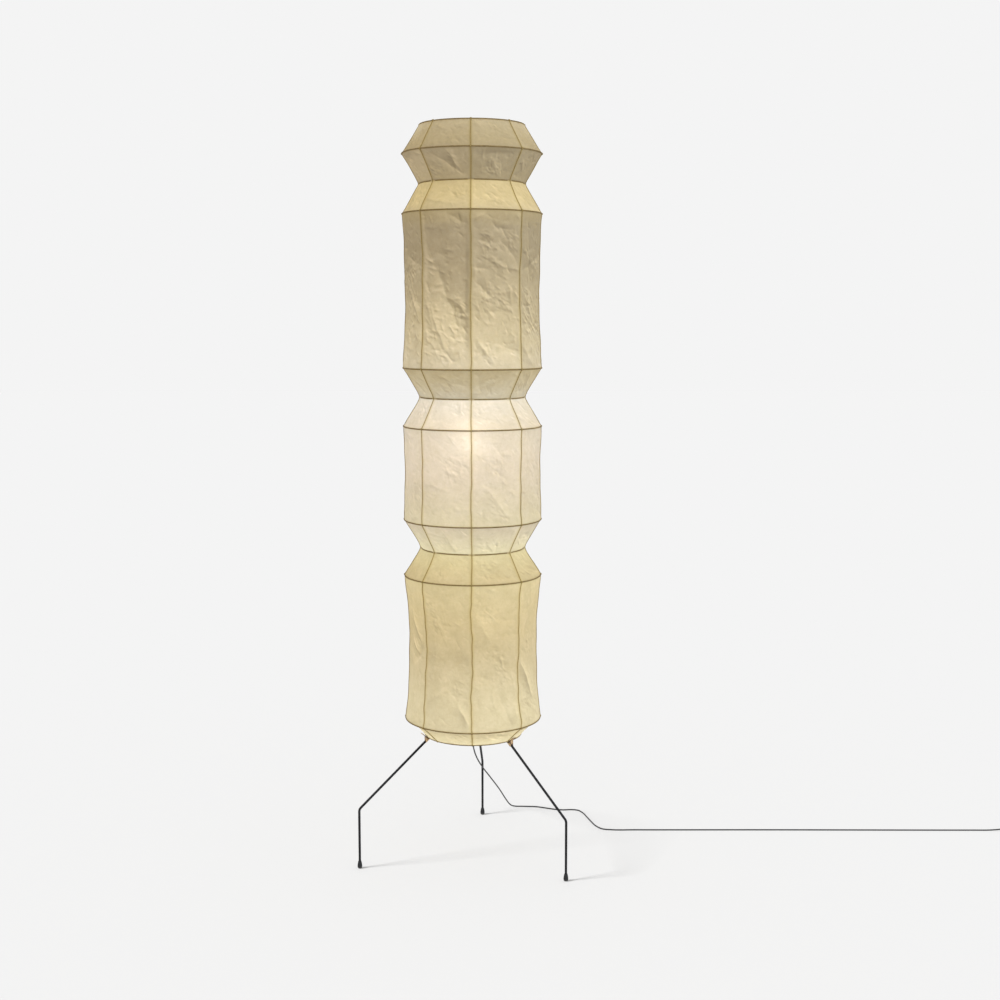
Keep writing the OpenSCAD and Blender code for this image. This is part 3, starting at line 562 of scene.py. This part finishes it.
def crumple(name, gore, across, down, width, length):
    """Height of one gore's crinkles: a few long folds, and many short ridges in knots."""
    rng = np.random.default_rng(1000 * BANDS.index(name) + gore)
    height = np.zeros_like(across)
    share = width * length / UPPER_DRUM_GORE
    knots = [
        (rng.uniform(-0.4, 0.4) * width, rng.uniform(0.1, 0.95) * length)
        for _ in range(max(1, round(3 * share)))
    ]
    knots += [((u - 0.5) * width, v * length) for u, v in KNOTS.get((name, gore), ())]
    for count, half, reach, lift, knotted in CREASES:
        for _ in range(max(1, round(count * share))):
            middle = (rng.uniform(-width / 2, width / 2), rng.uniform(0, length))
            if rng.random() < knotted:
                knot = knots[rng.integers(len(knots))]
                middle = (knot[0] + rng.normal(0, KNOT_SPREAD), knot[1] + rng.normal(0, KNOT_SPREAD))
            lean = rng.normal(math.radians(rng.choice(CREASE_LEANS)), LEAN_SCATTER)
            wide = rng.uniform(*reach)
            height += crease(
                across, down, middle, lean, rng.uniform(*half), (wide, wide * rng.uniform(0.4, 1)),
                rng.uniform(*lift) * rng.choice((-1, 1)),
            )
    height *= CRUMPLED.get(name, CRUMPLED_ELSEWHERE)
    for u0, v0, u1, v1, reach_up, reach_down, lift in FOLDS.get((name, gore), ()):
        dx, dy = (u1 - u0) * width, (v1 - v0) * length
        middle = ((u0 + u1) / 2 * width - width / 2, (v0 + v1) / 2 * length)
        half = FOLD_HALF * math.hypot(dx, dy)
        height += crease(across, down, middle, math.atan2(dy, dx), half, (reach_up, reach_down), lift)
    return height


def hump(t):
    return 4 * t * (1 - t)


def paper_band(i, name):
    """Grid of points of band i, with distances from seam and hoop, and tone with painted shade."""
    drop, draw = hoop_z[i] - hoop_z[i + 1], hoop_r[i + 1] - hoop_r[i]
    length = math.hypot(drop, draw)
    rows = max(10, round(length / ROW_STEP))
    t = (np.arange(rows + 1) / rows)[:, None]
    share = (np.arange(GORE_COLUMNS) / GORE_COLUMNS)[None, :]
    slack = DRUM_SLACK.get(name, 0)
    z = hoop_z[i] - drop * t
    down = length * t + 0 * share
    hoop_gap = np.minimum(down, length - down)
    free = smoothstep(*HOOP_GRIP, hoop_gap)
    sway = SWAY.get(name, SWAY_ELSEWHERE)
    gore_tone_and_shade = 1 + TONE_SCATTER * np.random.default_rng(70 + i).standard_normal(GORES)
    for gore, shade in GORE_TONE_AND_SHADE.get(name, {}).items():
        gore_tone_and_shade[gore] = shade
    all_r, all_turn, all_seam, all_painted_facet_shade = [], [], [], []
    for gore in range(GORES):
        turn = share * GORE_ANGLE
        chord = math.cos(GORE_ANGLE / 2) / np.cos(turn - GORE_ANGLE / 2)
        seam = hoop_r[i] + draw * t - slack * hump(t)
        r = seam * (1 - GORE_FLATNESS * hump(t) * (1 - chord))
        width = GORE_ANGLE * (hoop_r[i] + hoop_r[i + 1]) / 2
        across = (share - 0.5) * width + 0 * t
        from_seam = width / 2 - np.abs(across)
        loose = free * (SEAM_LOOSE + (1 - SEAM_LOOSE) * smoothstep(*SEAM_GRIP, from_seam))
        lift = loose * crumple(name, gore, across, down, width, length)
        # Painted shade: each facet's slope lightens or darkens the tone as if lit from up and right
        lean_across = np.gradient(lift, width / GORE_COLUMNS, axis=1)
        lean_down = np.gradient(lift, length / rows, axis=0)
        painted_facet_shade = PAINTED_LIGHT_DOWN * lean_down - PAINTED_LIGHT_ACROSS * lean_across
        all_painted_facet_shade.append(np.clip(painted_facet_shade, -STEEPEST_FACET, STEEPEST_FACET))
        out_a, side_a = seam_wobble(gore, z, sway)
        out_b, side_b = seam_wobble((gore + 1) % GORES, z, sway)
        out = out_a * (1 - share) + out_b * share
        side = side_a * (1 - share) + side_b * share
        r = r + lift + free * out
        # Along a seam the paper turns at a neck hoop in a round, not in a sharp edge
        for at, neck in ((t, i), (1 - t, i + 1)):
            if abs(hoop_r[neck] - NECK_R) < 0.001 and neck > 0:
                dz = at * drop
                slope = (WIDE_R - NECK_R) / drop
                bulge = slope * (np.sqrt(dz ** 2 + BULGE_ROUNDING ** 2) - dz)
                r = r + bulge * np.exp(-(from_seam / BULGE_WIDTH) ** 2)
        all_r.append(r)
        all_turn.append(turn + gore * GORE_ANGLE + free * side / r)
        all_seam.append(from_seam)
    r, turn = np.hstack(all_r), np.hstack(all_turn) + FRONT_TURN
    z = np.broadcast_to(z, r.shape)
    points = np.stack([r * np.cos(turn), r * np.sin(turn), z], axis=-1)
    # Band and gore tones, partly painted light and shade
    tone_and_painted_shade = BAND_TONE_AND_SHADE[name] * np.repeat(gore_tone_and_shade, GORE_COLUMNS)[None, :]
    tone_and_painted_shade = tone_and_painted_shade * (1 + PAINTED_FACET_CONTRAST * np.hstack(all_painted_facet_shade))
    # Painted shade: the drum darkens away from the bulb
    at_top, change = PAINTED_DRUM_SHADE.get(name, (1, 0))
    tone_and_painted_shade *= at_top + change * t
    return points, np.hstack(all_seam), np.tile(hoop_gap, (1, GORES)), tone_and_painted_shade


def grid_faces(rows, columns):
    a = np.arange(rows)[:, None] * columns + np.arange(columns)[None, :]
    b = np.arange(rows)[:, None] * columns + (np.arange(columns)[None, :] + 1) % columns
    return np.stack([a, a + columns, b + columns, b], axis=-1).reshape(-1, 4)


# The doubled paper and the glue's stain fade out between these distances
LAP_EDGE, GLUE_EDGE, HOOP_EDGE = (0.0042, 0.0052), (0.0010, 0.0026), (0.0012, 0.0032)
mulberry = Finish("mulberry_paper", (0.37, 0.29, 0.175), 0.85, Specular_IOR_Level=0.15)
cloud = mulberry.noise(26, 4, 0.6)
blotch = mulberry.noise(110, 5, 0.65, twist=0.6)
fibre = mulberry.noise(420, 3, 0.7, stretch=(1, 1, 0.22), twist=1.2)
cross_fibre = mulberry.noise(380, 3, 0.7, stretch=(0.25, 0.25, 1), twist=1.0)
clouds = mulberry.sum(mulberry.sum(cloud, 0.5, "MULTIPLY"), mulberry.sum(blotch, 0.5, "MULTIPLY"))
fibres = mulberry.sum(mulberry.sum(fibre, cross_fibre), 0.22, "MULTIPLY")
thick = mulberry.spread(mulberry.sum(clouds, fibres), 0.55, 0.95)
seam_gap = mulberry.add("ShaderNodeAttribute", out=2, attribute_name="from_seam")
hoop_gap = mulberry.add("ShaderNodeAttribute", out=2, attribute_name="from_hoop")
tone_and_painted_shade = mulberry.add("ShaderNodeAttribute", out=0, attribute_name="tone_and_painted_shade")
overlap = mulberry.spread(seam_gap, *LAP_EDGE, 1, 0)
near_seam = mulberry.spread(seam_gap, *GLUE_EDGE, 1, 0)
near_hoop = mulberry.spread(hoop_gap, *HOOP_EDGE, 1, 0)


def paper_color(thin, dense, lapped, glued, at_hoop, hoop_share):
    """The paper's colour: cloudy, darker where gores lap, at their glue and at the hoops."""
    color = mulberry.blend(thick, thin, dense)
    for place, share, other in (
        (overlap, 0.22, lapped), (near_seam, 0.55, glued), (near_hoop, hoop_share, at_hoop)
    ):
        color = mulberry.blend(mulberry.sum(place, share, "MULTIPLY"), color, other)
    # The tone brings in the painted shade of bands, gores, crinkles and drums
    return mulberry.blend(1.0, color, tone_and_painted_shade, "MULTIPLY")


face = paper_color(
    (0.44, 0.36, 0.25), (0.38, 0.305, 0.20), (0.38, 0.30, 0.14), (0.27, 0.195, 0.075),
    (0.30, 0.22, 0.10), 0.6
)
through = paper_color(
    (0.60, 0.52, 0.355), (0.48, 0.41, 0.26), (0.50, 0.40, 0.18), (0.36, 0.26, 0.09),
    (0.36, 0.27, 0.12), 0.5
)
stir = mulberry.add("ShaderNodeTexNoise", (0, mulberry.place()), ("Scale", 45), out=1)
stir = mulberry.add("ShaderNodeVectorMath", (0, stir), (1, (0.012,) * 3), operation="MULTIPLY")
stirred = mulberry.add(
    "ShaderNodeVectorMath", (0, mulberry.place((1, 1, 0.8))), (1, stir), operation="ADD"
)
crackle = mulberry.add("ShaderNodeTexVoronoi", (0, stirred), ("Scale", 85), feature="F1")
skin = mulberry.relief(mulberry.noise(700, 4, 0.6, twist=0.8), 0.00025, 0.5)
skin = mulberry.relief(blotch, 0.0006, 0.5, skin)
skin = mulberry.relief(crackle, 0.0016, 0.6, skin)
mulberry.feed("Base Color", face)
mulberry.feed("Normal", skin)
lit_through = mulberry.add("ShaderNodeBsdfTranslucent", ("Color", through), ("Normal", skin))
both = mulberry.add(
    "ShaderNodeMixShader", ("Fac", 0.5), (1, mulberry.shader.outputs[0]), (2, lit_through)
)
mulberry.tree.links.new(both, mulberry.tree.nodes["Material Output"].inputs["Surface"])


def follow_folding(piece):
    """Hang a piece on the shade's body, with a mesh of its own."""
    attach(piece, "shade")
    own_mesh(piece)


band_points = {}
for i, name in enumerate(BANDS):
    points, from_seam, from_hoop, tone_and_painted_shade = paper_band(i, name)
    band_points[name] = points
    rows, columns = points.shape[0] - 1, points.shape[1]
    faces = grid_faces(rows, columns)
    band = new_piece(name.replace("paper", "mulberry"), points.reshape(-1, 3), faces)
    for key, values in (("from_seam", from_seam), ("from_hoop", from_hoop), ("tone_and_painted_shade", tone_and_painted_shade)):
        band.data.attributes.new(key, "FLOAT", "POINT").data.foreach_set("value", values.ravel())
    mulberry.on(band)
    lit_from_inside.objects.link(band)
    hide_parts(name)
    follow_folding(band)

# ---- Tie threads
# Eight olive threads, one down each seam outside the paper, hitched round every hoop
# that they pass. They carry the hoops when the shade hangs.
THREAD_R = 0.0006
HITCH_TURNS = 2.25
HITCH_POINTS = 14
THREAD_SIDES, HITCH_SIDES = 6, 5
# In thread radii: how far its middle stands off paper and wire, and a turn's step aside
OFF_PAPER, OFF_WIRE, HITCH_STEP = 0.9, 0.8, 1.9
ALONG_NO_THREAD = (0.3, 0.2, 0.1)


def seam_line(gore):
    """Down the seam at a gore's start, just outside the paper."""
    line = []
    for name in BANDS:
        column = band_points[name][:, gore * GORE_COLUMNS]
        out = np.column_stack([column[:, 0], column[:, 1], 0 * column[:, 2]])
        out /= np.linalg.norm(out, axis=1)[:, None]
        line.extend(column[:-1] + out[:-1] * (THREAD_R * OFF_PAPER))
    line.append(band_points[BANDS[-1]][-1, gore * GORE_COLUMNS])
    return np.array(line)


def hitch_line(turn, z, r):
    """The thread's turns round a hoop's wire where it crosses."""
    away = np.array([math.cos(turn), math.sin(turn), 0])
    along = np.array([-math.sin(turn), math.cos(turn), 0])
    up = np.array([0, 0, 1])
    wrap_r = HOOP_WIRE_R + THREAD_R * OFF_WIRE
    line = []
    for k in range(round(HITCH_TURNS * HITCH_POINTS) + 1):
        a = math.tau * k / HITCH_POINTS
        step = (a / math.tau - HITCH_TURNS / 2) * THREAD_R * HITCH_STEP
        line.append(
            r * away + z * up + wrap_r * (math.cos(a) * away + math.sin(a) * up) + step * along
        )
    return line


thread_verts, thread_faces = [], []


def add_thread(line, sides):
    verts, faces = tube(line, THREAD_R, sides, ALONG_NO_THREAD)
    start = sum(len(v) for v in thread_verts)
    thread_verts.append(verts)
    thread_faces.extend(tuple(start + c for c in f) for f in faces)


for gore in range(GORES):
    add_thread(seam_line(gore), THREAD_SIDES)
    for z, r in zip(hoop_z, hoop_r):
        add_thread(hitch_line(FRONT_TURN + gore * GORE_ANGLE, z, r), HITCH_SIDES)
threads = new_piece("seam_threads", np.vstack(thread_verts), thread_faces)
waxed_thread = Finish("waxed_thread", (0.26, 0.19, 0.075), 0.7, Specular_IOR_Level=0.1)
ply = waxed_thread.noise(900, 2, stretch=(1, 1, 0.5))
waxed_thread.mottle(waxed_thread.spread(ply, 0.3, 0.7), (0.30, 0.22, 0.085), (0.17, 0.12, 0.042))
waxed_thread.emboss(ply, 0.0002, 0.6)
waxed_thread.on(threads)
lit_from_inside.objects.link(threads)
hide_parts("tie_threads")
follow_folding(threads)

# ---- Legs and hub
# Three bent rods of 4.8 mm steel that plug into a turned hub, where grub screws hold them.
# Rods and hub are powder-coated black, and rubbed a little here and there.
rod_paint = Finish("satin_black_coat", (0.009, 0.009, 0.010), 0.5, Specular_IOR_Level=0.16)
peel = rod_paint.noise(1300, 2)
rubbed = rod_paint.spread(rod_paint.noise(38, 4, 0.6), 0.52, 0.72)
rod_paint.mottle(rubbed, (0.008, 0.008, 0.009), (0.017, 0.016, 0.016))
peel_dull = rod_paint.spread(peel, 0.3, 0.7, 0.44, 0.56)
rub_shine = rod_paint.sum(rubbed, -0.08, "MULTIPLY")
rod_paint.feed("Roughness", rod_paint.sum(peel_dull, rub_shine))
rod_paint.emboss(peel, 0.00006, 0.5)
rod_paint.on(*[solids[name] for name in ("hub", "leg_rear", "leg_left", "leg_right")])

screw_steel = Finish("black_oxide_steel", (0.06, 0.06, 0.065), 0.42, Metallic=1.0)
oxide = screw_steel.noise(1800, 3)
screw_steel.mottle(screw_steel.spread(oxide, 0.4, 0.7), (0.05, 0.05, 0.055), (0.12, 0.11, 0.10))
screw_steel.dull(oxide, 0.34, 0.5)
screw_steel.on(solids["grub_screws"])

# ---- Feet
# Drop-shaped tips of moulded rubber, pushed over the rods' ends. They are dull, and
# dusty where they come near the floor.
DUSTY_TO_Z = 0.005
rubber = Finish("dull_black_rubber", (0.018, 0.018, 0.018), 0.82, Specular_IOR_Level=0.3)
grit = rubber.noise(1500, 3, 0.7)
height_up = rubber.add("ShaderNodeSeparateXYZ", (0, rubber.place()), out=2)
low_down = rubber.spread(height_up, 0.0, DUSTY_TO_Z, 1, 0)
in_pits = rubber.spread(grit, 0.35, 0.65, 0.3, 1)
dusty = rubber.sum(low_down, in_pits, "MULTIPLY")
rubber.mottle(dusty, (0.015, 0.015, 0.0155), (0.085, 0.08, 0.072))
rubber.dull(grit, 0.74, 0.9)
rubber.emboss(grit, 0.0001, 0.5)
rubber.on(*[solids[name] for name in ("foot_rear", "foot_left", "foot_right")])

# ---- Bamboo clips
# Three split pegs of bamboo that sit astride the rods and grip the bottom hoop's wire.
# Their grain runs out from the shade's axis, with dark streaks of bark left on.
bamboo = Finish("split_bamboo", (0.52, 0.34, 0.16), 0.55)
height_up = bamboo.add("ShaderNodeSeparateXYZ", (0, bamboo.place()), out=2)
from_side = bamboo.place((1, 1, 0))
from_axis = bamboo.add("ShaderNodeVectorMath", (0, from_side), operation="LENGTH", out=1)
round_axis = bamboo.add("ShaderNodeVectorMath", (0, from_side), operation="NORMALIZE")
grain_turn = bamboo.add(
    "ShaderNodeVectorMath", (0, round_axis), (1, (2.2, 2.2, 0)), operation="MULTIPLY"
)
grain_lift = bamboo.add(
    "ShaderNodeCombineXYZ", (0, bamboo.sum(from_axis, 0.6, "MULTIPLY")),
    (2, bamboo.sum(height_up, 12, "MULTIPLY"))
)
grain = bamboo.add("ShaderNodeVectorMath", (0, grain_turn), (1, grain_lift), operation="ADD")
strands = bamboo.add(
    "ShaderNodeTexNoise", (0, grain), ("Scale", 42), ("Detail", 4), ("Roughness", 0.7)
)
streaks = bamboo.add("ShaderNodeTexNoise", (0, grain), ("Scale", 11), ("Detail", 2))
wood = bamboo.blend(bamboo.spread(strands, 0.38, 0.62), (0.55, 0.37, 0.19), (0.26, 0.15, 0.06))
wood = bamboo.blend(bamboo.spread(streaks, 0.50, 0.56, 0, 0.9), wood, (0.07, 0.035, 0.015))
bamboo.feed("Base Color", wood)
bamboo.dull(strands, 0.45, 0.7)
bamboo.emboss(strands, 0.0003, 0.6)
bamboo.on(solids["leg_clips"])

# ---- Stem and harp
# A threaded tube in the hub carries the bulb holder, and on a pressed saddle under the
# holder stands the harp, a bow of wire whose stud the shade hangs on. Tube, saddle and
# harp are coated black, and their two nuts and the stud are turned from brass.
rod_paint.on(*[solids[name] for name in ("stem", "harp_saddle", "harp")])

turned_brass = Finish("turned_brass", (0.66, 0.46, 0.20), 0.3, Metallic=1.0)
tool_marks = turned_brass.noise(500, 2, stretch=(0.3, 0.3, 9))
tarnish = turned_brass.spread(turned_brass.noise(140, 4, 0.65), 0.45, 0.7)
turned_brass.mottle(tarnish, (0.68, 0.48, 0.22), (0.40, 0.25, 0.10))
cut_shine = turned_brass.spread(tool_marks, 0.3, 0.7, 0.22, 0.36)
tarnish_dull = turned_brass.sum(tarnish, 0.14, "MULTIPLY")
turned_brass.feed("Roughness", turned_brass.sum(cut_shine, tarnish_dull))
turned_brass.emboss(tool_marks, 0.00004, 0.5)
turned_brass.on(*[solids[name] for name in ("stem_locknut", "holder_locknut", "harp_stud")])

# ---- Bulb holder
# A cap and a screwed-on shell of glossy moulded resin, with a glazed ceramic plate that
# carries the brass contact tongue, and the rolled brass sleeve that the bulb screws into.
resin = Finish("black_resin", (0.012, 0.011, 0.011), 0.28)
swirl = resin.noise(120, 4, 0.6, twist=1.5)
resin.mottle(resin.spread(swirl, 0.4, 0.7), (0.010, 0.009, 0.009), (0.022, 0.017, 0.014))
resin.dull(swirl, 0.22, 0.36)
resin.emboss(resin.noise(900, 2), 0.00004, 0.35)
resin.on(solids["holder_cap"], solids["holder_shell"])

glaze = Finish("glazed_ceramic", (0.78, 0.75, 0.68), 0.16, Coat_Weight=0.4)
specks = glaze.spread(glaze.noise(1400, 2), 0.64, 0.70)
glaze.mottle(specks, (0.80, 0.77, 0.70), (0.42, 0.36, 0.28))
glaze.emboss(glaze.noise(260, 2), 0.0002, 0.3)
glaze.on(solids["holder_insulator"])
turned_brass.on(solids["holder_contact"], solids["holder_sleeve"])

# ---- Bulb
# A screw-in bulb: an aluminium cap rolled into a thread, black glass under it with a
# blob of solder for a contact, and a globe frosted inside, which is lit.
rolled_cap = Finish("rolled_aluminium", (0.72, 0.71, 0.69), 0.34, Metallic=1.0)
rolling = rolled_cap.noise(700, 2, stretch=(0.4, 0.4, 6))
rolled_cap.mottle(rolled_cap.spread(rolling, 0.3, 0.7), (0.76, 0.75, 0.73), (0.52, 0.51, 0.49))
rolled_cap.dull(rolling, 0.26, 0.44)
rolled_cap.emboss(rolling, 0.00006, 0.5)
rolled_cap.on(solids["bulb_cap"])

black_glass = Finish("black_glass", (0.008, 0.007, 0.010), 0.1)
black_glass.dull(black_glass.noise(400, 3), 0.06, 0.2)
black_glass.emboss(black_glass.noise(300, 2), 0.0001, 0.3)
black_glass.on(solids["bulb_insulator"])

solder = Finish("solder", (0.56, 0.56, 0.58), 0.4, Metallic=1.0)
dross = solder.noise(900, 4, 0.7)
solder.mottle(solder.spread(dross, 0.4, 0.7), (0.60, 0.60, 0.62), (0.34, 0.33, 0.33))
solder.dull(dross, 0.3, 0.55)
solder.emboss(dross, 0.0003, 0.6)
solder.on(solids["bulb_contact"])

GLOBE_DIM_Z, GLOBE_LIT_Z = 0.784, 0.818
frosted = Finish("lit_frosted_glass", (0.96, 0.93, 0.87), 0.35, Emission_Strength=2.5)
frost = frosted.spread(frosted.noise(900, 3), 0.3, 0.7, 0.94, 1.0)
up_globe = frosted.add("ShaderNodeSeparateXYZ", (0, frosted.place()), out=2)
lit_part = frosted.spread(up_globe, GLOBE_DIM_Z, GLOBE_LIT_Z, 0.25, 1)
glow_share = frosted.sum(lit_part, frost, "MULTIPLY")
frosted.feed("Emission Color", frosted.blend(glow_share, (0.30, 0.19, 0.09), (1.0, 0.86, 0.64)))
frosted.emboss(frosted.noise(2400, 2), 0.00003, 0.3)
frosted.on(solids["bulb_glass"])

# ---- Finial
# A domed brass nut and its washer, which hold the shade's spider down on the harp.
# They are turned from the same brass as the stud under them.
turned_brass.on(solids["finial"], solids["finial_washer"])

# ---- Gland, switch, tie and plug
# What is moulded on the cord or strung on it: a tapered sleeve under the hub, a rocker
# switch in a textured case, the strap round the spare length, and the plug.
moulded = Finish("textured_black_plastic", (0.017, 0.017, 0.018), 0.5)
spark_texture = moulded.noise(1700, 2)
moulded.mottle(
    moulded.spread(moulded.noise(70, 3), 0.4, 0.7), (0.015, 0.015, 0.016), (0.023, 0.022, 0.022)
)
moulded.dull(spark_texture, 0.44, 0.6)
moulded.emboss(spark_texture, 0.00008, 0.55)
moulded.on(solids["switch_body"], solids["plug_body"], solids["cord_gland"])

rocker_gloss = Finish("glossy_black_plastic", (0.014, 0.014, 0.015), 0.2)
worn_shine = rocker_gloss.noise(160, 3)
rocker_gloss.dull(worn_shine, 0.14, 0.32, 0.35, 0.65)
rocker_gloss.emboss(worn_shine, 0.00005, 0.3)
rocker_gloss.on(solids["switch_rocker"])

strap = Finish("looped_strap", (0.02, 0.02, 0.021), 0.9, Sheen_Weight=0.3)
loops = strap.noise(2600, 2, 0.8)
strap.mottle(strap.spread(loops, 0.35, 0.7), (0.012, 0.012, 0.013), (0.045, 0.044, 0.043))
strap.emboss(loops, 0.0003, 0.8)
strap.on(solids["coil_tie"])

plated = Finish("nickel_plate", (0.66, 0.64, 0.60), 0.22, Metallic=1.0)
scuffs = plated.noise(600, 3, stretch=(6, 0.5, 6))
plated.mottle(plated.spread(scuffs, 0.45, 0.7), (0.68, 0.66, 0.62), (0.50, 0.46, 0.38))
plated.dull(scuffs, 0.16, 0.36)
plated.on(solids["plug_pins"])
